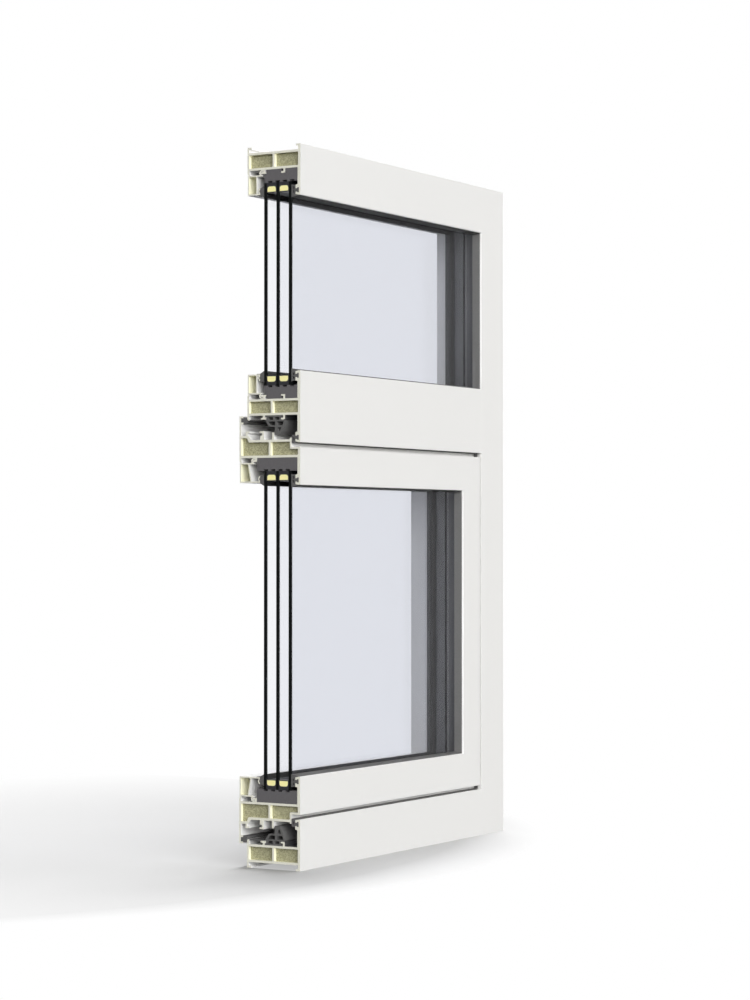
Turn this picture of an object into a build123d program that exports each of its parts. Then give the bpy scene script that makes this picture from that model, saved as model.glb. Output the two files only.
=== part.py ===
from build123d import *
from collections import namedtuple
import os

# A sample of a window: a fixed light over a tilt and turn sash, sawn square at its left end.
# Millimetres, +Z up, +X from the sawn end to the jamb, +Y from outdoors to the room.
# The origin is under the middle of the sample, on the floor that its sill stands on.
# A section is drawn with the depth from the outdoor face, y, and the distance s that
# it lies back from the edge of its opening, out towards the wall.

# Whole sample
width = 550.0
height = 921.0
frame_depth = 80.0
sash_proud = 12.0

# Faces seen from outdoors
frame_face = 65.0
transom_face = 91.0
transom_bottom = 542.0
sash_face = 48.0
sash_gap = 6.0

# Pultruded walls
face_wall = 3.4
leg_wall = 4.2
room_wall = 2.6
web = 2.9
rib = 2.8
rebate = 35.0
box_height = 22.8
frame_rib_depth = 40.4
transom_rib_depth = 43.0
sash_rib_depth = 46.0
lip_wall = 2.4
lip_reach = 6.4
chamber_round = 1.2
edge_round = 0.5

# Gasket groove in the edge of an outdoor leg
groove_depth = 7.2
groove_back = 2.2
groove_chamber = 5.0
groove_lead = 2.8
chamber_low = 3.0
chamber_high = 9.4
mouth_low = 4.0
mouth_high = 8.4
groove_end = 13.6
edge_slope = 1.0
seal_fit = 0.2

# Glazing unit
pane = 4.0
pane_gap = 14.6
unit_depth = 13.3
glass_bite = 18.0
spacer_low = 5.3
spacer_height = 8.9
spacer_wall = 1.05
spacer_round = 4.0

# Feet on the rebate web: the bead's clip stands off the glass, the seal's hook off the outdoor face
clip_clear = 0.3
clip_wall = 3.0
clip_low = 29.8
clip_foot = 2.4
clip_reach = 4.6
clip_toe = 3.6
hook_depth = 22.9
hook_wall = 2.7
hook_low = 29.4
hook_foot = 2.2
hook_reach = 6.1
stub_low = 29.0

# Sash box, hardware groove and room leg
step_depth = 13.0
step_wall = 2.4
step_spur = 2.0
shoulder_rise = 5.7
leg_reach = 88.7
groove_setback = 12.4
groove_span = 25.0
groove_lip = 2.1
groove_rise = 11.2
groove_open = 16.6
seal_stop_depth = 39.4
seal_stop_wall = 2.8
seal_stop_rise = 9.2
tip_groove = 5.6
tip_lip = 3.4

# Glazing bead
bead_wall = 1.7
bead_low = 3.2
bead_high = 28.7
bead_setback = 0.6
bead_heel = 5.7
bead_wrap = 1.4
bead_curl = 0.9
bead_lip = 8.6
barb_pitch = 2.4
barb_depth = 1.4
fixed_bead_lean = 0.6
sash_bead_lean = 4.2

# Glazing gaskets
outer_lip = 0.9
outer_lip_rise = 2.8
outer_cell_wall = 1.6
inner_gasket = 6.1
inner_lip = 0.6
inner_lip_reach = 4.9
inner_tail = 1.8

# Packers and foam
packer_length = 100.0
packer_start = 5.0
packer_end = 54.0
notch_deep = 2.2
notch_width = 7.0
notch_pitch = 11.0
notch_count = 4
fixed_notch = 12.5
sash_notch = 19.0
fit = 0.3
foam_recess = 5.0

# Seals between sash and frame
seal_wall = 2.0
seal_rib = 2.4
seal_neck_rib = 39.8
seal_row_rib = 36.7
seal_row = 5.0
seal_shelf = 2.7
seal_tail_cell = 5.0
seal_tail_width = 5.6
seal_tail = 19.5
seal_flare = 2.0
seal_lean = 3.7
stop_wall = 1.5
cover_wall = 1.4

# Places worked out from the sizes
sash_depth = frame_depth + sash_proud
x_cut = -width / 2
y_face = -sash_depth / 2
mitre_spare = 2 * frame_face
x_opening = width / 2 - frame_face
Opening = namedtuple("Opening", "right bottom top")
whole = Opening(x_opening, frame_face, height - frame_face)
fixed_light = Opening(x_opening, transom_bottom + transom_face, height - frame_face)
sash_light = Opening(x_opening, frame_face, transom_bottom)
sash_margin = sash_gap + sash_face
sash_view = Opening(
    x_opening - sash_margin, frame_face + sash_margin, transom_bottom - sash_margin
)
unit_back = unit_depth + 3 * pane + 2 * pane_gap
outer_web = rebate + box_height
clip_depth = unit_back + clip_clear
sash_clip_depth = clip_depth + sash_proud
bead_foot = unit_back + inner_gasket
shoulder = outer_web + shoulder_rise
groove_outer = sash_depth - groove_setback
groove_inner = groove_outer - groove_span
leg_inner = sash_depth - room_wall


def strip(y0, y1, s0, s1):
    """One straight wall of a section."""
    return Pos((y0 + y1) / 2, (s0 + s1) / 2) * Rectangle(y1 - y0, s1 - s0)


def toe(y0, y1, low, thick):
    """A foot of a section with round ends."""
    return Pos((y0 + y1) / 2, low + thick / 2) * SlotOverall(y1 - y0, thick)


def outline(*points):
    """A closed outline through its corners."""
    return make_face(Polyline(*points, close=True))


def rounded(section):
    """A section with all its corners rounded as a pultruded chamber's are."""
    return fillet(section.vertices(), chamber_round)


def top_run(section, opening):
    """A bar over an opening, from the sawn end to a mitre at the right corner."""
    start = Plane((x_cut, y_face, opening.top), x_dir=(0, 1, 0), z_dir=(1, 0, 0))
    bar = extrude(start * section, opening.right - x_cut + mitre_spare)
    return split(bar, Plane((opening.right, 0, opening.top), z_dir=(1, 0, -1)), Keep.BOTTOM)


def side_run(section, opening):
    """A bar up the right side of an opening, mitred at both ends."""
    start = Plane(
        (opening.right, y_face, opening.top + mitre_spare), x_dir=(0, 1, 0), z_dir=(0, 0, -1)
    )
    bar = extrude(start * section, opening.top - opening.bottom + 2 * mitre_spare)
    bar = split(bar, Plane((opening.right, 0, opening.top), z_dir=(1, 0, -1)), Keep.TOP)
    return split(bar, Plane((opening.right, 0, opening.bottom), z_dir=(1, 0, 1)), Keep.TOP)


def bottom_run(section, opening):
    """A bar under an opening, from the sawn end to a mitre at the right corner."""
    start = Plane(
        (opening.right + mitre_spare, y_face, opening.bottom), x_dir=(0, 1, 0), z_dir=(-1, 0, 0)
    )
    bar = extrude(start * section, opening.right + mitre_spare - x_cut)
    return split(bar, Plane((opening.right, 0, opening.bottom), z_dir=(1, 0, 1)), Keep.BOTTOM)


def ring(section, opening):
    """One piece that runs round the three sides of an opening."""
    return (
        top_run(section, opening) + side_run(section, opening) + bottom_run(section, opening)
    )


def block(section, opening, run, start, end):
    """A short length of a run, between two distances from the sawn end."""
    bar = split(run(section, opening), Plane((x_cut + start, 0, 0), z_dir=(1, 0, 0)), Keep.TOP)
    return split(bar, Plane((x_cut + end, 0, 0), z_dir=(1, 0, 0)), Keep.BOTTOM)


def trimmed(piece, neighbours):
    """A piece cut to length round the members that it butts on."""
    for neighbour in neighbours:
        piece -= neighbour
    return piece


def save(name, *pieces):
    """Write one node, whose solids don't touch."""
    solids = [solid for piece in pieces for solid in piece.solids()]
    export_step(Compound(children=solids), f"parts/{name}.step")


# Sections that the frame, the transom and the sash share


def outdoor_leg():
    """Leg beside the glass, with an undercut groove for a gasket along its edge."""
    leg = strip(0, leg_wall, groove_end - edge_slope, rebate)
    nose = outline(
        (0, 0),
        (groove_lead, 0),
        (groove_depth, edge_slope),
        (groove_depth, groove_end - edge_slope),
        (leg_wall, groove_end),
        (0, groove_end),
    )
    nose = fillet(nose.vertices().sort_by_distance((0, 0))[0], edge_round)
    chamber = strip(groove_back, groove_chamber, chamber_low, chamber_high)
    mouth = strip(groove_chamber, groove_depth, mouth_low, mouth_high)
    return leg + nose - chamber - mouth


def room_stub(face):
    """Short turned-in end of a room wall, where a bead or a cover strip meets it."""
    inner = face - room_wall
    return outline(
        (face, rebate),
        (face, stub_low + clip_foot),
        (face - edge_slope, stub_low),
        (inner - edge_slope, stub_low),
        (inner - edge_slope, stub_low + edge_slope),
        (inner, stub_low + clip_foot),
        (inner, rebate),
    )


def bead_clip(depth, toe_reach):
    """Stem with a foot that a glazing bead snaps behind."""
    stem = strip(depth - clip_wall / 2, depth + clip_wall / 2, clip_low + clip_foot / 2, rebate)
    return stem + toe(depth - toe_reach, depth + clip_reach, clip_low, clip_foot)


def frame_rebate():
    """Half of a section that faces an opening: leg, web, hooks and room stub."""
    hook = strip(hook_depth, hook_depth + hook_wall, hook_low + hook_foot / 2, rebate)
    hook += toe(hook_depth, hook_depth + hook_reach, hook_low, hook_foot)
    body = outdoor_leg() + strip(0, frame_depth, rebate, rebate + web)
    return body + room_stub(frame_depth) + bead_clip(clip_depth, clip_toe) + hook


def frame_chambers(rib_depth, near, far):
    """The two foam-filled chambers of a frame or transom box."""
    outdoor = strip(face_wall, rib_depth - rib / 2, near, far)
    return rounded(outdoor + strip(rib_depth + rib / 2, frame_depth - room_wall, near, far))


def frame_section():
    """Frame profile with an open channel towards the wall of the building."""
    box = strip(0, frame_depth, rebate, outer_web)
    box -= frame_chambers(frame_rib_depth, rebate + web, outer_web - web)
    walls = strip(0, face_wall, outer_web, frame_face)
    walls += strip(frame_depth - room_wall, frame_depth, outer_web, frame_face)
    walls += strip(0, lip_reach, frame_face - lip_wall, frame_face)
    walls += strip(frame_depth - lip_reach, frame_depth, frame_face - lip_wall, frame_face)
    return frame_rebate() + box + walls


def transom_section():
    """Transom profile: two rebates back to back."""
    far = transom_face - rebate
    upper = Pos(0, transom_face) * mirror(frame_rebate(), about=Plane.XZ)
    box = strip(0, frame_depth, rebate, far)
    box -= frame_chambers(transom_rib_depth, rebate + web, far - web)
    return frame_rebate() + upper + box


def sash_chambers():
    """The two foam-filled chambers of the sash box."""
    near = rebate + web
    far = outer_web - web
    outdoor = strip(step_depth + step_wall, sash_rib_depth - rib / 2, near, far)
    outdoor += strip(face_wall, step_depth + step_wall, near, sash_face - step_wall)
    room = outline(
        (sash_rib_depth + rib / 2, near),
        (leg_inner, near),
        (leg_inner, shoulder - web),
        (groove_outer + edge_slope, shoulder - web),
        (groove_outer - web + edge_slope, far),
        (sash_rib_depth + rib / 2, far),
    )
    return rounded(outdoor + room)


def sash_section():
    """Sash profile: outdoor step, hardware groove and a room leg that laps the frame."""
    box = outline(
        (0, rebate),
        (sash_depth, rebate),
        (sash_depth, shoulder),
        (groove_outer - edge_slope, shoulder),
        (groove_outer - web - rib, outer_web),
        (step_depth, outer_web),
        (step_depth, sash_face),
        (0, sash_face),
    )
    spur = strip(step_depth, step_depth + step_wall, outer_web - web, outer_web + step_spur)
    box += outdoor_leg() + room_stub(sash_depth) + spur
    box += bead_clip(sash_clip_depth, clip_wall / 2)
    box += strip(leg_inner, sash_depth, shoulder - web, leg_reach)
    return box + hardware_groove() + leg_tip() - sash_chambers()


def hardware_groove():
    """Lips of the groove that takes the window's fittings, and the stop of the centre seal."""
    rim = outer_web + groove_rise
    lips = strip(groove_outer, groove_outer + rib, shoulder - web, rim)
    lips += strip(groove_inner + 2 * rib + groove_open, groove_outer + rib, rim - groove_lip, rim)
    lips += strip(groove_inner, groove_inner + rib, outer_web - web, rim)
    lips += strip(groove_inner, groove_inner + 2 * rib + edge_slope, rim - groove_lip, rim)
    lips += strip(groove_inner, groove_inner + 2 * rib, outer_web - web, shoulder)
    stop = strip(
        seal_stop_depth,
        seal_stop_depth + seal_stop_wall,
        outer_web - web,
        outer_web + seal_stop_rise,
    )
    return lips + stop


def leg_tip():
    """Lips at the end of the room leg that hold the overlap gasket."""
    far = strip(leg_inner - tip_lip, leg_inner, leg_reach - lip_wall, leg_reach)
    near_high = leg_reach - lip_wall - tip_groove
    return far + strip(leg_inner - tip_lip, leg_inner, near_high - lip_wall, near_high)


os.makedirs("parts", exist_ok=True)

# Frame members, mitred at the right corners
frame_jamb = side_run(frame_section(), whole)
save("frame_head", top_run(frame_section(), whole))
save("frame_sill", bottom_run(frame_section(), whole))
save("frame_jamb", frame_jamb)

# Transom, butted on the jamb's leg and notched over it to reach the jamb's room wall
x_tenon = x_opening + stub_low - fit
start = Plane((x_cut, y_face, transom_bottom), x_dir=(0, 1, 0), z_dir=(1, 0, 0))
transom_end = strip(groove_depth + fit, frame_depth, stub_low, transom_face - stub_low)
transom = extrude(start * transom_section(), x_opening - x_cut)
transom += extrude(start * (transom_section() & transom_end), x_tenon - x_cut)
save("transom", transom)

# Sash members, mitred at the right corners
save("sash_top_rail", top_run(sash_section(), sash_view))
save("sash_stile", side_run(sash_section(), sash_view))
save("sash_bottom_rail", bottom_run(sash_section(), sash_view))

# Foam in the boxes, set back from the sawn end
frame_foam = frame_chambers(frame_rib_depth, rebate + web, outer_web - web)
transom_foam = frame_chambers(transom_rib_depth, rebate + web, transom_face - rebate - web)
foam_end = x_opening - x_cut
sash_foam_end = sash_view.right - x_cut
save("frame_head_foam", block(frame_foam, whole, top_run, foam_recess, foam_end))
save("frame_sill_foam", block(frame_foam, whole, bottom_run, foam_recess, foam_end))
save("transom_foam", block(transom_foam, sash_light, top_run, foam_recess, foam_end))
save("sash_top_foam", block(sash_chambers(), sash_view, top_run, foam_recess, sash_foam_end))
save(
    "sash_bottom_foam", block(sash_chambers(), sash_view, bottom_run, foam_recess, sash_foam_end)
)


# Glazing: three panes, two spacer bars, packers, gaskets and beads in each light


def spacer_outline(inset):
    """Spacer bar's section about its gap's middle, rounded towards the edge of the glass."""
    bar = Rectangle(pane_gap - 2 * inset, spacer_height - 2 * inset)
    return fillet(bar.vertices().group_by(Axis.Y)[-1], spacer_round - inset)


def pane_at(depth, opening):
    """One sheet of glass, sawn through at the left end."""
    length = opening.right + glass_bite - x_cut
    tall = opening.top - opening.bottom + 2 * glass_bite
    corner = (x_cut, y_face + depth, opening.bottom - glass_bite)
    return Pos(corner) * Box(length, pane, tall, align=Align.MIN)


def packer_section(end, first_notch):
    """Packer between the rebate web and the glass, castellated where the glass sits."""
    body = strip(packer_start, end, glass_bite, rebate)
    for index in range(notch_count):
        middle = first_notch + index * notch_pitch
        body -= strip(
            middle - notch_width / 2,
            middle + notch_width / 2,
            glass_bite,
            glass_bite + notch_deep,
        )
    return body


def fixed_packer_section():
    """Packer of the fixed light, relieved over the frame's hook and clip."""
    toe_side = clip_depth - clip_toe - fit
    relief = strip(hook_depth - fit, hook_depth + hook_reach + fit, hook_low - fit, rebate)
    relief += strip(toe_side, toe_side + packer_end, clip_low - fit, rebate)
    return packer_section(packer_end, fixed_notch) - relief


def bead_barb():
    """Edge of a bead's lip towards the glass, with the notch that its gasket grips."""
    steps = ((0, 0), (1, 0), (2, barb_depth), (3, 0))
    edge = [(bead_foot + deep, bead_low + count * barb_pitch) for count, deep in steps]
    return edge + [(bead_foot, bead_low + bead_lip)]


def bead_section(room_face, clip, lean):
    """Hollow snap-in bead with a long foot and a lip that presses a gasket on the glass."""
    front = room_face - bead_setback
    back = clip + clip_reach + fit + bead_heel
    roof = bead_high - bead_wall
    floor = bead_low + bead_wall
    box = outline((front, bead_low), (front, bead_high), (back, bead_high), (back - lean, bead_low))
    hollow = outline(
        (front - bead_wall, floor),
        (front - bead_wall, roof),
        (back + bead_wall, roof),
        (back + bead_wall - lean, floor),
    )
    barb = bead_barb()
    lip = outline(*barb, *[(y + bead_wall, s) for y, s in reversed(barb)])
    foot = strip(bead_foot, back + bead_wall - lean, bead_low, floor)
    curl_y = clip + clip_reach - clip_foot / 2
    curl_s = clip_low + clip_foot / 2
    curl = clip_foot / 2 + bead_curl
    reach = curl + bead_wall
    hook = Pos(curl_y, curl_s) * (Circle(reach) - Circle(curl))
    hook &= strip(curl_y, curl_y + reach, roof, curl_s + reach)
    hook += strip(curl_y - bead_wrap, curl_y, curl_s + curl, curl_s + reach)
    hook += strip(curl_y, back + bead_wall, roof, bead_high)
    return box - rounded(hollow) + foot + lip + hook


def gasket_anchor():
    """Foot of a gasket in a leg's groove, with the neck through the mouth of the groove."""
    foot = strip(
        groove_back + seal_fit,
        groove_chamber - seal_fit,
        chamber_low + seal_fit,
        chamber_high - seal_fit,
    )
    return foot + strip(
        groove_chamber - seal_fit, groove_depth, mouth_low + seal_fit, mouth_high - seal_fit
    )


def outer_gasket_section():
    """Gasket with a hollow bulb on the outer pane and a thin lip over the edge of the leg."""
    bulb = outline(
        (groove_lead, 0),
        (groove_lead + outer_lip, -outer_lip),
        (unit_depth, -outer_lip_rise),
        (unit_depth, groove_end),
        (groove_depth, groove_end - edge_slope),
        (groove_depth, edge_slope),
    )
    low = edge_slope + outer_cell_wall
    high = groove_end - edge_slope - outer_cell_wall
    middle = (low + high) / 2
    cells = strip(groove_depth + outer_cell_wall, unit_depth - outer_cell_wall, low, high)
    cells -= strip(groove_depth, unit_depth, middle - outer_cell_wall / 2, middle + outer_cell_wall / 2)
    return gasket_anchor() + bulb - cells


def inner_gasket_section():
    """Wedge gasket between inner pane and bead, with a barb in its lip and a lip over its foot."""
    tail = bead_low + bead_lip + inner_tail
    cover = bead_foot + inner_lip_reach
    return outline(
        (unit_back, -edge_slope),
        (bead_foot, bead_low - inner_lip),
        (cover, bead_low - inner_lip),
        (cover, bead_low),
        *bead_barb(),
        (unit_back + inner_tail, tail),
        (unit_back, tail),
    )


def glaze(name, opening, packer, bead, neighbours):
    """All the glazing of one light."""
    half = pane_gap / 2
    spacer_middle = spacer_low + spacer_height / 2
    cores = []
    seals = []
    for number, label in enumerate(("outer", "middle", "inner")):
        save(f"{name}_pane_{label}", pane_at(unit_depth + number * (pane + pane_gap), opening))
    for number, label in enumerate(("outer", "inner")):
        gap_middle = unit_depth + pane + half + number * (pane + pane_gap)
        bar = Pos(gap_middle, spacer_middle) * spacer_outline(0)
        core = Pos(gap_middle, spacer_middle) * spacer_outline(spacer_wall)
        seal = strip(gap_middle - half, gap_middle + half, spacer_middle, glass_bite) - bar
        save(f"{name}_spacer_{label}", ring(bar - core, opening))
        cores.append(ring(core, opening))
        seals.append(ring(seal, opening))
    save(f"{name}_spacer_fill", *cores)
    save(f"{name}_edge_seal", *seals)
    save(
        f"{name}_packers",
        block(packer, opening, top_run, 0, packer_length),
        block(packer, opening, bottom_run, 0, packer_length),
    )
    save(f"{name}_bead_top", top_run(bead, opening))
    save(f"{name}_bead_side", side_run(bead, opening))
    save(f"{name}_bead_bottom", trimmed(bottom_run(bead, opening), neighbours))
    save(f"{name}_gasket_inner", ring(inner_gasket_section(), opening))
    save(f"{name}_gasket_outer", trimmed(ring(outer_gasket_section(), opening), neighbours))


sash_packer_end = sash_clip_depth - clip_wall / 2 - fit
glaze(
    "fixed",
    fixed_light,
    fixed_packer_section(),
    bead_section(frame_depth, clip_depth, fixed_bead_lean),
    [frame_jamb],
)
glaze(
    "sash",
    sash_view,
    packer_section(sash_packer_end, sash_notch),
    bead_section(sash_depth, sash_clip_depth, sash_bead_lean),
    [],
)

# Seals between the sash and the frame


def seal_cell(near, far, low, high, near_lean, far_lean):
    """One hollow of the centre seal, narrower towards the sash."""
    return outline((near, high), (far, high), (far - far_lean, low), (near + near_lean, low))


def centre_seal_section():
    """Multi-chamber seal held under the frame's hooks, pressed on the sash's seal stop."""
    waist = hook_low - fit
    neck_top = rebate - clip_foot
    hook_side = hook_depth + hook_reach + fit
    toe_side = clip_depth - clip_toe - fit
    tip = seal_stop_depth - fit
    row_top = waist - seal_wall
    row_low = row_top - seal_row
    shelf_low = row_low - seal_shelf
    tail_low = shelf_low - seal_tail_cell
    near = hook_depth + fit
    row_near = near + seal_wall
    tail_far = seal_row_rib - seal_rib
    flange = strip(hook_depth + hook_wall + fit, clip_depth - clip_wall / 2 - fit, neck_top + fit, rebate)
    body = outline(
        (toe_side + seal_flare, waist),
        (toe_side - seal_lean, shelf_low + seal_wall / 2),
        (tip - seal_wall / 2, shelf_low + seal_wall / 2),
        (tip - seal_wall / 2, tail_low),
        (tip, tail_low - seal_wall),
        (tip - seal_wall, waist - seal_tail),
        (tail_far - seal_lean, waist - seal_tail),
        (row_near + seal_flare, tail_low),
        (near + seal_flare / 2, row_low),
        (near, row_top),
        (near + seal_flare / 2, waist),
    )
    body += flange + strip(hook_side, toe_side, waist, rebate)
    half = seal_rib / 2
    body -= seal_cell(hook_side + seal_wall, seal_neck_rib - half, waist, neck_top, 0, 0)
    body -= seal_cell(seal_neck_rib + half, toe_side - seal_wall, waist, neck_top, 0, seal_flare)
    body -= seal_cell(row_near, seal_row_rib - half, row_low, row_top, half, half)
    body -= seal_cell(seal_row_rib + half, toe_side - seal_wall, row_low, row_top, 0, seal_lean)
    body -= seal_cell(
        tail_far - seal_tail_width, tail_far, tail_low, shelf_low, seal_flare, seal_flare
    )
    return body


def cover_strip_section():
    """Flat strip that closes the frame's fitting channel between clip and room stub."""
    low = clip_low - edge_slope
    far = frame_depth - room_wall - edge_slope - fit
    return strip(clip_depth + clip_reach + fit, far, low, low + cover_wall)


def stop_gasket_section():
    """Outdoor stop gasket in the frame's groove, pressed on the step of the sash."""
    far = step_depth - fit
    bulb = outline(
        (groove_depth, -edge_slope),
        (far, -edge_slope),
        (far, chamber_high),
        (groove_depth, chamber_high),
    )
    bulb = fillet(bulb.vertices().group_by(Axis.X)[-1], stop_wall)
    cell = strip(
        groove_depth + stop_wall, far - stop_wall, mouth_low - stop_wall, mouth_high - stop_wall
    )
    return gasket_anchor() + bulb - cell


def overlap_gasket_section():
    """Room-side gasket in the tip of the sash leg, pressed on the frame's room face."""
    high = leg_reach - lip_wall - seal_fit
    low = leg_reach - lip_wall - tip_groove + seal_fit
    mouth = leg_inner - tip_lip
    return strip(mouth, leg_inner, low, high) + outline(
        (mouth, low - lip_wall),
        (mouth, leg_reach - edge_slope),
        (frame_depth + fit, leg_reach - 2 * edge_slope),
        (frame_depth + fit, low - edge_slope),
    )


seal_top = top_run(centre_seal_section(), sash_light)
seal_top = split(seal_top, Plane((x_tenon, 0, 0), z_dir=(1, 0, 0)), Keep.BOTTOM)
seal_side = side_run(centre_seal_section(), sash_light)
seal_bottom = bottom_run(centre_seal_section(), sash_light)
save("centre_seal", seal_top + seal_side + seal_bottom)
save("cover_strip", ring(cover_strip_section(), sash_light))
save("stop_gasket", trimmed(ring(stop_gasket_section(), sash_light), [frame_jamb]))
save("overlap_gasket", ring(overlap_gasket_section(), sash_view))
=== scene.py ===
import math
import bpy
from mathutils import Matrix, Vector


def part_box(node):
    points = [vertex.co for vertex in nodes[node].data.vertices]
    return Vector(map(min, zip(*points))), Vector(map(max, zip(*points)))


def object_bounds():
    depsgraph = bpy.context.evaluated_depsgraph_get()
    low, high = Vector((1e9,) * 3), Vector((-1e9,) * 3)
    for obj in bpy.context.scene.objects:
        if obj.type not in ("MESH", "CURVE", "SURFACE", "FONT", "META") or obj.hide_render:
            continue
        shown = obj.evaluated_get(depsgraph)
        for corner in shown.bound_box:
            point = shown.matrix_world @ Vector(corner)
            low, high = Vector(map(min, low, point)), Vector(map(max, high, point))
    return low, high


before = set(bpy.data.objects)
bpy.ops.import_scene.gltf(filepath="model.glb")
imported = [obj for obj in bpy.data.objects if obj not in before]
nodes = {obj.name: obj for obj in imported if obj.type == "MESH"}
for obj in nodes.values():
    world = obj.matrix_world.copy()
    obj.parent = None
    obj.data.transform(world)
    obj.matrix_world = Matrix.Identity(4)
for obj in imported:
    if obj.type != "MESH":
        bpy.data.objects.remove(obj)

cad_low, cad_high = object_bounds()

# Camera. It stands on the outdoor side, to the left, so that the sawn end shows as well as the
# outdoor face, and looks up by a degree. Place and lens put the edges where the picture has them.
camera_place = Vector((-3.1087, -1.8277, 0.41466))
camera_heading = math.radians(-59.46)
camera_pitch = math.radians(0.925)
camera_lens = 95.25
sensor_size = 36.0
view_reach = 100.0

camera_data = bpy.data.cameras.new("camera")
camera_data.lens = camera_lens
camera_data.sensor_width = sensor_size
camera_data.clip_end = view_reach
camera = bpy.data.objects.new("camera", camera_data)
camera.location = camera_place
camera.rotation_euler = (math.pi / 2 + camera_pitch, 0.0, camera_heading)
bpy.context.scene.collection.objects.link(camera)
bpy.context.scene.camera = camera
bpy.context.scene.view_settings.view_transform = "Standard"

# Studio. A white floor runs out to a white surround. Away from the foot the floor glows white, and
# beneath the sill it glows in part: painted light that bounds its shadow and lightens the floor
# under the sill. A wide lamp low on the left lights the sawn end and the outdoor face, two overhead
# throw the shadow, one in front softens it, and one fills the room side but not the floor. No lamp
# shows in a mirror or through glass.
floor_size = 60.0
floor_paint = 0.51
mottle_reach = 0.01
mottle_scale = 3.0
mottle_detail = 4.0
pure_white = (1.0, 1.0, 1.0, 1.0)
surround_white = 1.0
mirror_grey = 0.10
dome_level = 0.15
behind_glass = 2.8
# Painted light: how strongly the floor beneath the sill glows white.
painted_light_beneath = 0.45
# Painted light: a fade of the floor to a white glow, which bounds its shadow: its middle, and how
# far from it the fade starts and ends.
slow_fade = ((0.0, 0.01, 0.0), 0.23, 1.24)
front_fade = ((-0.21, 0.76, 0.0), 0.88, 0.99)
# A lamp: the direction that it stands in, its strength, and its spread in degrees.
lamps = {
    "low": ((-0.62, -0.76, 0.13), 5.5, 65.0),
    "overhead": ((0.19, 0.115, 0.975), 1.95, 12.0),
    "high": ((0.37, -0.01, 0.925), 1.1, 15.0),
    "broad": ((0.49, -0.41, 0.77), 0.5, 30.0),
    "fill": ((0.45, 0.80, 0.25), 2.2, 60.0),
}


def finish_tree(name):
    """A new empty material, and the tree that its nodes go in."""
    finish = bpy.data.materials.new(name)
    finish.use_nodes = True
    finish.node_tree.nodes.clear()
    return finish, finish.node_tree


def put(tree, kind, links=None, values=None, **settings):
    """Add one shader node, set its own values and join its inputs to other nodes' outputs."""
    made = tree.nodes.new(kind)
    for key, value in settings.items():
        setattr(made, key, value)
    for key, value in (values or {}).items():
        made.inputs[key].default_value = value
    for key, source in (links or {}).items():
        tree.links.new(source, made.inputs[key])
    return made


def reckon(tree, operation, first, second):
    """One sum of two numbers; each is a plain number or another node's output."""
    made = tree.nodes.new("ShaderNodeMath")
    made.operation = operation
    for socket, value in enumerate((first, second)):
        if isinstance(value, (int, float)):
            made.inputs[socket].default_value = value
        else:
            tree.links.new(value, made.inputs[socket])
    return made.outputs[0]


def within(tree, value, low, high):
    """1 where a number lies between two limits."""
    over = reckon(tree, "GREATER_THAN", value, low)
    return reckon(tree, "MULTIPLY", over, reckon(tree, "LESS_THAN", value, high))


bpy.ops.object.select_all(action="DESELECT")
bpy.ops.mesh.primitive_plane_add(size=floor_size, location=(0.0, 0.0, cad_low.z))
floor = bpy.context.object
floor.name = "floor"
floor.visible_diffuse = False
floor.visible_glossy = False
floor.visible_transmission = False
floor_finish, tree = finish_tree("floor")
where = put(tree, "ShaderNodeTexCoord").outputs["Object"]
mottle = put(
    tree,
    "ShaderNodeTexNoise",
    {"Vector": where},
    {"Scale": mottle_scale, "Detail": mottle_detail},
)
tone = put(
    tree,
    "ShaderNodeMapRange",
    {"Value": mottle.outputs["Fac"]},
    {"To Min": floor_paint - mottle_reach, "To Max": floor_paint + mottle_reach},
)
paint = put(tree, "ShaderNodeBsdfDiffuse", {"Color": tone.outputs["Result"]})
# Painted light: beneath the sill the floor glows partly white, for light reaching in under it.
foot_low, foot_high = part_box("frame_sill")
place = put(tree, "ShaderNodeSeparateXYZ", {"Vector": where})
along = within(tree, place.outputs["X"], foot_low.x, foot_high.x)
deep = within(tree, place.outputs["Y"], foot_low.y, foot_high.y)
glow_share = reckon(tree, "MULTIPLY", reckon(tree, "MULTIPLY", along, deep), painted_light_beneath)
# Painted light: the floor glows white with distance from each fade's middle.
for middle, near, far in (slow_fade, front_fade):
    away = put(tree, "ShaderNodeVectorMath", {0: where}, {1: middle}, operation="DISTANCE")
    share = put(
        tree,
        "ShaderNodeMapRange",
        {"Value": away.outputs["Value"]},
        {"From Min": near, "From Max": far},
    )
    glow_share = reckon(tree, "MAXIMUM", share.outputs["Result"], glow_share)
# Painted light: a white glow mixed into the floor paint.
painted_glow = put(tree, "ShaderNodeEmission", values={"Strength": surround_white})
paint_and_glow = put(
    tree,
    "ShaderNodeMixShader",
    {0: glow_share, 1: paint.outputs["BSDF"], 2: painted_glow.outputs["Emission"]},
)
put(tree, "ShaderNodeOutputMaterial", {"Surface": paint_and_glow.outputs["Shader"]})
floor.data.materials.append(floor_finish)

# The surround is white to the camera and through glass, and brighter to what is lit through
# glass. It is grey in mirrors, and elsewhere a faint dome above the floor.
world = bpy.data.worlds.new("surround")
world.use_nodes = True
tree = world.node_tree
tree.nodes.clear()
outwards = put(tree, "ShaderNodeTexCoord").outputs["Generated"]
height = put(tree, "ShaderNodeSeparateXYZ", {"Vector": outwards}).outputs["Z"]
sky = reckon(tree, "MULTIPLY", reckon(tree, "GREATER_THAN", height, 0.0), dome_level)
path = put(tree, "ShaderNodeLightPath")
seen = reckon(
    tree, "MAXIMUM", path.outputs["Is Camera Ray"], path.outputs["Is Transmission Ray"]
)
mirrored = put(
    tree,
    "ShaderNodeMapRange",
    {"Value": path.outputs["Is Glossy Ray"], "To Min": sky},
    {"To Max": mirror_grey},
)
bounced = reckon(tree, "MULTIPLY", path.outputs["Diffuse Depth"], behind_glass)
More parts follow.
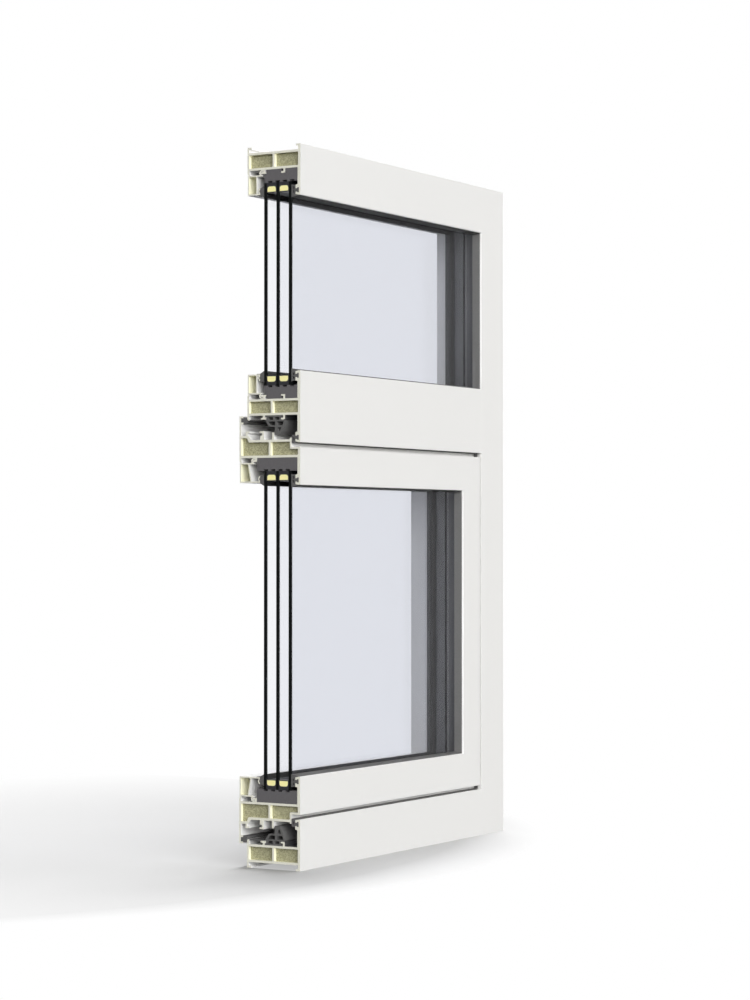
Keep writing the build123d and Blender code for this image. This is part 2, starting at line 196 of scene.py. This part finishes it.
level = put(
    tree,
    "ShaderNodeMapRange",
    {
        "Value": seen,
        "To Min": mirrored.outputs["Result"],
        "To Max": reckon(tree, "ADD", bounced, surround_white),
    },
)
dome = put(
    tree, "ShaderNodeBackground", {"Strength": level.outputs["Result"]}, {"Color": pure_white}
)
put(tree, "ShaderNodeOutputWorld", {"Surface": dome.outputs["Background"]})
bpy.context.scene.world = world

unlit = bpy.data.collections.new("unlit by the fill lamp")
unlit.objects.link(floor)
unlit.collection_objects[0].light_linking.link_state = "EXCLUDE"
for name, (towards, strength, spread) in lamps.items():
    lamp_data = bpy.data.lights.new(name, "SUN")
    lamp_data.energy = strength
    lamp_data.angle = math.radians(spread)
    lamp = bpy.data.objects.new(name, lamp_data)
    lamp.rotation_euler = Vector(towards).to_track_quat("Z", "Y").to_euler()
    lamp.visible_glossy = False
    lamp.visible_transmission = False
    bpy.context.scene.collection.objects.link(lamp)
    if name == "fill":
        lamp.light_linking.receiver_collection = unlit

# Frame. Head, jamb and sill are pultruded glass fibre bars, mitred and bonded at the corners and
# lacquered white, and the transom is butted on the jamb. Bare cream fibre shows at the saw cut and
# in the chambers, and a dark strip of painted shade lies on the web of sill and transom, beside the
# centre seal.
mm = 0.001
lacquer_white = (0.82, 0.815, 0.797, 1.0)
lacquer_gloss = 0.38
cloud_scale = 7.0
cloud_detail = 3.0
cloud_dim = 0.98
peel_scale = 700.0
peel_detail = 2.0
peel_lift = 0.05
peel_height = 0.1 * mm
fibre_pale = (0.88, 0.87, 0.76, 1.0)
fibre_dark = (0.70, 0.69, 0.59, 1.0)
fibre_matt = 0.8
roving_scale = 1500.0
chamber_cream = (0.98, 0.96, 0.74, 1.0)
saw_skin = 0.1 * mm
chamber_skin = 0.2 * mm
# Painted shade beside the centre seal: its grey, its depths, and how far above or below the foam it
# lies.
seal_shade_grey = (0.075, 0.075, 0.078, 1.0)
seal_shade_from = 2.6 * mm
seal_shade_to = 26.5 * mm
seal_shade_near = 1.0 * mm
seal_shade_far = 9.0 * mm
# Sockets of a Mix node that mixes colours.
mix_share = 0
mix_low = 6
mix_high = 7
mix_colour = 2


def blend(tree, mask, low, high):
    """A colour that goes from low to high with a mask; each is a colour or an output."""
    mix = put(tree, "ShaderNodeMix", {mix_share: mask}, data_type="RGBA")
    for socket, colour in ((mix_low, low), (mix_high, high)):
        if isinstance(colour, tuple):
            mix.inputs[socket].default_value = colour
        else:
            tree.links.new(colour, mix.inputs[socket])
    return mix.outputs[mix_colour]


def dress(names, finish):
    """Give a finish to CAD nodes."""
    for name in names:
        slots = nodes[name].data.materials
        slots.clear()
        slots.append(finish)


def lacquered_bar(name, across, patches):
    """White lacquer over cream fibre, bare at the saw cut, with patches of other colours, some of
    them painted shade.
    """
    finish, tree = finish_tree(name)
    where = put(tree, "ShaderNodeTexCoord").outputs["Object"]
    place = put(tree, "ShaderNodeSeparateXYZ", {"Vector": where})
    sawn = reckon(tree, "LESS_THAN", place.outputs["X"], cad_low.x + saw_skin)
    cloud = put(
        tree,
        "ShaderNodeTexNoise",
        {"Vector": where},
        {"Scale": cloud_scale, "Detail": cloud_detail},
    )
    shade = put(
        tree, "ShaderNodeMapRange", {"Value": cloud.outputs["Fac"]}, {"To Min": cloud_dim}
    )
    coat = put(
        tree,
        "ShaderNodeMix",
        {mix_high: shade.outputs["Result"]},
        {mix_share: 1.0, mix_low: lacquer_white},
        data_type="RGBA",
        blend_type="MULTIPLY",
    )
    colour = coat.outputs[mix_colour]
    for patch, y_low, y_high, s_low, s_high in patches:
        deep = within(tree, place.outputs["Y"], y_low - chamber_skin, y_high + chamber_skin)
        wide = within(tree, place.outputs[across], s_low - chamber_skin, s_high + chamber_skin)
        colour = blend(tree, reckon(tree, "MULTIPLY", deep, wide), colour, patch)
    roving = put(tree, "ShaderNodeTexVoronoi", {"Vector": where}, {"Scale": roving_scale})
    fibre = blend(tree, roving.outputs["Distance"], fibre_dark, fibre_pale)
    colour = blend(tree, sawn, colour, fibre)
    peel = put(
        tree,
        "ShaderNodeTexNoise",
        {"Vector": where},
        {"Scale": peel_scale, "Detail": peel_detail},
    )
    bump = put(
        tree,
        "ShaderNodeBump",
        {"Height": peel.outputs["Fac"]},
        {"Strength": peel_lift, "Distance": peel_height},
    )
    rough = put(
        tree, "ShaderNodeMapRange", {"Value": sawn}, {"To Min": lacquer_gloss, "To Max": fibre_matt}
    )
    skin = put(
        tree,
        "ShaderNodeBsdfPrincipled",
        {
            "Base Color": colour,
            "Roughness": rough.outputs["Result"],
            "Normal": bump.outputs["Normal"],
        },
    )
    put(tree, "ShaderNodeOutputMaterial", {"Surface": skin.outputs["BSDF"]})
    return finish


def chamber_of(foam):
    """The bare chamber that a foam slab lies in: its colour, depths and heights."""
    low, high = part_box(foam)
    return chamber_cream, low.y, high.y, low.z, high.z


# The painted shade strips on the web of sill and transom, beside the centre seal.
seal_shade = (seal_shade_grey, cad_low.y + seal_shade_from, cad_low.y + seal_shade_to)
over_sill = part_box("frame_sill_foam")[1].z
under_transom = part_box("transom_foam")[0].z
seal_shades = {
    "frame_head": [],
    "frame_sill": [(*seal_shade, over_sill + seal_shade_near, over_sill + seal_shade_far)],
    "transom": [(*seal_shade, under_transom - seal_shade_far, under_transom - seal_shade_near)],
}
for bar, shade_patches in seal_shades.items():
    dress([bar], lacquered_bar(bar, "Z", [chamber_of(f"{bar}_foam"), *shade_patches]))
dress(["frame_jamb"], lacquered_bar("frame_jamb", "X", []))

# Sash. Two rails and a stile of the same lacquered fibre bar, mitred and bonded. The outdoor
# face stands back from the seam by a step, and only the chambers behind the step are bare. Towards
# the seam a chamber has its full height only behind a shoulder.
step_depth = 15.4 * mm
shoulder_depth = 78.0 * mm
shoulder_rise = 5.7 * mm
step_back = cad_low.y + step_depth
shoulder = cad_low.y + shoulder_depth
for end, off_low, off_high in (("top", 0.0, shoulder_rise), ("bottom", shoulder_rise, 0.0)):
    bare, _, back, low, high = chamber_of(f"sash_{end}_foam")
    chambers = [
        (bare, step_back, back, low + off_low, high - off_high),
        (bare, shoulder, back, low, high),
    ]
    dress([f"sash_{end}_rail"], lacquered_bar(f"sash_{end}_rail", "Z", chambers))
dress(["sash_stile"], lacquered_bar("sash_stile", "X", []))

# Foam. Olive insulating foam fills the chambers of the bars. It was sawn with them and then
# scraped back a little, so that its open grain shows in shade.
foam_pale = (0.45, 0.435, 0.28, 1.0)
foam_dark = (0.205, 0.20, 0.12, 1.0)
foam_matt = 0.95
foam_lift = 0.5
foam_pit = 0.4 * mm
cell_scale = 700.0
crumb_scale = 350.0
crumb_detail = 6.0
crumb_rough = 0.7
pit_from = 0.05
pit_to = 0.35
foam_finish, tree = finish_tree("foam")
where = put(tree, "ShaderNodeTexCoord").outputs["Object"]
cells = put(tree, "ShaderNodeTexVoronoi", {"Vector": where}, {"Scale": cell_scale})
crumbs = put(
    tree,
    "ShaderNodeTexNoise",
    {"Vector": where},
    {"Scale": crumb_scale, "Detail": crumb_detail, "Roughness": crumb_rough},
)
pits = reckon(tree, "MULTIPLY", cells.outputs["Distance"], crumbs.outputs["Fac"])
spread = put(
    tree, "ShaderNodeMapRange", {"Value": pits}, {"From Min": pit_from, "From Max": pit_to}
)
colour = blend(tree, spread.outputs["Result"], foam_dark, foam_pale)
bump = put(
    tree,
    "ShaderNodeBump",
    {"Height": cells.outputs["Distance"]},
    {"Strength": foam_lift, "Distance": foam_pit},
)
body = put(
    tree,
    "ShaderNodeBsdfPrincipled",
    {"Base Color": colour, "Normal": bump.outputs["Normal"]},
    {"Roughness": foam_matt},
)
put(tree, "ShaderNodeOutputMaterial", {"Surface": body.outputs["BSDF"]})
dress([name for name in nodes if name.endswith("_foam")], foam_finish)

# Glass. Three sheets of float glass in each light, faintly blue, bonded to the spacer bars at their
# edges. They were sawn through with the sample; the cut edge, and a narrow band of the faces beside
# it that fades out away from the cut, are painted black as painted shade. Light that meets a sheet
# squarely casts less shade behind it than light that meets it at a slant.
pane_tint = (0.910, 0.917, 0.940, 1.0)
pane_bend = 1.2
polished = 0.0
square_shade = (0.95, 0.95, 0.95, 1.0)
slant_shade = (0.60, 0.60, 0.60, 1.0)
even_slant = 0.5
# Painted shade at the cut edge: its black, its dullness and shine, and how far from the cut it is
# full and where it has faded out.
edge_shade_black = (0.008, 0.009, 0.009, 1.0)
edge_matt = 0.5
edge_shine = 0.05
edge_shade_full = 1.4 * mm
edge_shade_fade = 3.4 * mm
glass_finish, tree = finish_tree("glass")
where = put(tree, "ShaderNodeTexCoord").outputs["Object"]
place = put(tree, "ShaderNodeSeparateXYZ", {"Vector": where})
# Painted shade: black in full at the cut edge, fading to clear glass a little further in.
edge_shade_share = put(
    tree,
    "ShaderNodeMapRange",
    {"Value": place.outputs["X"]},
    {
        "From Min": cad_low.x + edge_shade_full,
        "From Max": cad_low.x + edge_shade_fade,
        "To Min": 1.0,
        "To Max": 0.0,
    },
)
sheet = put(
    tree,
    "ShaderNodeBsdfPrincipled",
    values={
        "Base Color": pane_tint,
        "Roughness": polished,
        "IOR": pane_bend,
        "Transmission Weight": 1.0,
    },
)
painted_edge_shade = put(
    tree,
    "ShaderNodeBsdfPrincipled",
    values={"Base Color": edge_shade_black, "Roughness": edge_matt, "Specular IOR Level": edge_shine},
)
slant = put(tree, "ShaderNodeLayerWeight", values={"Blend": even_slant}).outputs["Facing"]
shade = blend(tree, slant, square_shade, slant_shade)
clear = put(tree, "ShaderNodeBsdfTransparent", {"Color": shade})
path = put(tree, "ShaderNodeLightPath")
lit = put(
    tree,
    "ShaderNodeMixShader",
    {0: path.outputs["Is Shadow Ray"], 1: sheet.outputs["BSDF"], 2: clear.outputs["BSDF"]},
)
pane = put(
    tree,
    "ShaderNodeMixShader",
    {0: edge_shade_share.outputs["Result"], 1: lit.outputs["Shader"], 2: painted_edge_shade.outputs["BSDF"]},
)
put(tree, "ShaderNodeOutputMaterial", {"Surface": pane.outputs["Shader"]})
dress([name for name in nodes if "_pane_" in name], glass_finish)

# Spacer bars. Thin-walled dark bars, rolled to a round back, that hold the panes apart.
# They run round each light, and their ends are open at the saw cut.
grain_detail = 4.0
lump_height = 0.2 * mm
dull_shine = 0.15


def grained(name, pale, dark, grain_size, rough, lumps):
    """A matt finish of two close tones in a fine grain, with a little bump."""
    finish, tree = finish_tree(name)
    where = put(tree, "ShaderNodeTexCoord").outputs["Object"]
    grain = put(
        tree,
        "ShaderNodeTexNoise",
        {"Vector": where},
        {"Scale": 1 / grain_size, "Detail": grain_detail},
    )
    colour = blend(tree, grain.outputs["Fac"], dark, pale)
    bump = put(
        tree,
        "ShaderNodeBump",
        {"Height": grain.outputs["Fac"]},
        {"Strength": lumps, "Distance": lump_height},
    )
    body = put(
        tree,
        "ShaderNodeBsdfPrincipled",
        {"Base Color": colour, "Normal": bump.outputs["Normal"]},
        {"Roughness": rough, "Specular IOR Level": dull_shine},
    )
    put(tree, "ShaderNodeOutputMaterial", {"Surface": body.outputs["BSDF"]})
    return finish


spacer_pale = (0.075, 0.075, 0.078, 1.0)
spacer_dark = (0.055, 0.055, 0.058, 1.0)
spacer_finish = grained(
    "spacer", spacer_pale, spacer_dark, grain_size=2.0 * mm, rough=0.5, lumps=0.1
)
bars = [f"{light}_spacer_{side}" for light in ("fixed", "sash") for side in ("outer", "inner")]
dress(bars, spacer_finish)

# Spacer filling. Pale yellow drying beads, bound in a block, that fill the spacer bars.
# The saw left their ends flush with the cut.
filling_pale = (1.0, 0.96, 0.50, 1.0)
filling_dark = (1.0, 0.92, 0.40, 1.0)
filling_finish = grained(
    "filling", filling_pale, filling_dark, grain_size=1.1 * mm, rough=0.8, lumps=0.2
)
dress(["fixed_spacer_fill", "sash_spacer_fill"], filling_finish)

# Edge bond. Black sealant poured round the edge of each glazing unit, behind the spacer bars.
# It bonds the three panes into one unit, and was sawn through with them.
bond_pale = (0.05, 0.05, 0.055, 1.0)
bond_dark = (0.03, 0.03, 0.035, 1.0)
bond_finish = grained(
    "edge_bond", bond_pale, bond_dark, grain_size=3.3 * mm, rough=0.6, lumps=0.2
)
dress(["fixed_edge_seal", "sash_edge_seal"], bond_finish)

# Packers. Moulded grey plastic blocks, notched where the glazing unit rests on them.
# They lie between the rebate and the glass.
packer_pale = (0.15, 0.145, 0.15, 1.0)
packer_dark = (0.12, 0.115, 0.12, 1.0)
packer_finish = grained(
    "packer", packer_pale, packer_dark, grain_size=2.5 * mm, rough=0.6, lumps=0.1
)
dress(["fixed_packers", "sash_packers"], packer_finish)

# Beads. Hollow lacquered fibre strips that snap behind the clips of the frame and of the sash
# and press the glass outwards. Their hollow shows bare cream fibre at the saw cut.
bead_skin = 1.0 * mm
bead_deep = 12.0 * mm
bead_tall = 25.5 * mm
for light in ("fixed", "sash"):
    top_low, top_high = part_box(f"{light}_bead_top")
    inside = (chamber_cream, top_high.y - bead_deep, top_high.y - bead_skin)
    upper = (*inside, top_low.z + bead_skin, top_low.z + bead_tall - bead_skin)
    bottom_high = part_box(f"{light}_bead_bottom")[1]
    lower = (*inside, bottom_high.z - bead_tall + bead_skin, bottom_high.z - bead_skin)
    dress([f"{light}_bead_top"], lacquered_bar(f"{light}_bead_top", "Z", [upper]))
    dress([f"{light}_bead_bottom"], lacquered_bar(f"{light}_bead_bottom", "Z", [lower]))
    dress([f"{light}_bead_side"], lacquered_bar(f"{light}_bead_side", "X", []))

# Gaskets and seals. Extruded dark grey rubber, pressed into the grooves of the bars and of the
# beads and welded at the corners. The strip over the frame's fitting channel is the same grey.
rubber_pale = (0.14, 0.138, 0.135, 1.0)
rubber_dark = (0.11, 0.11, 0.108, 1.0)
rubber_finish = grained(
    "rubber", rubber_pale, rubber_dark, grain_size=1.7 * mm, rough=0.65, lumps=0.15
)
seals = [name for name in nodes if "gasket" in name]
dress(seals + ["centre_seal", "cover_strip"], rubber_finish)
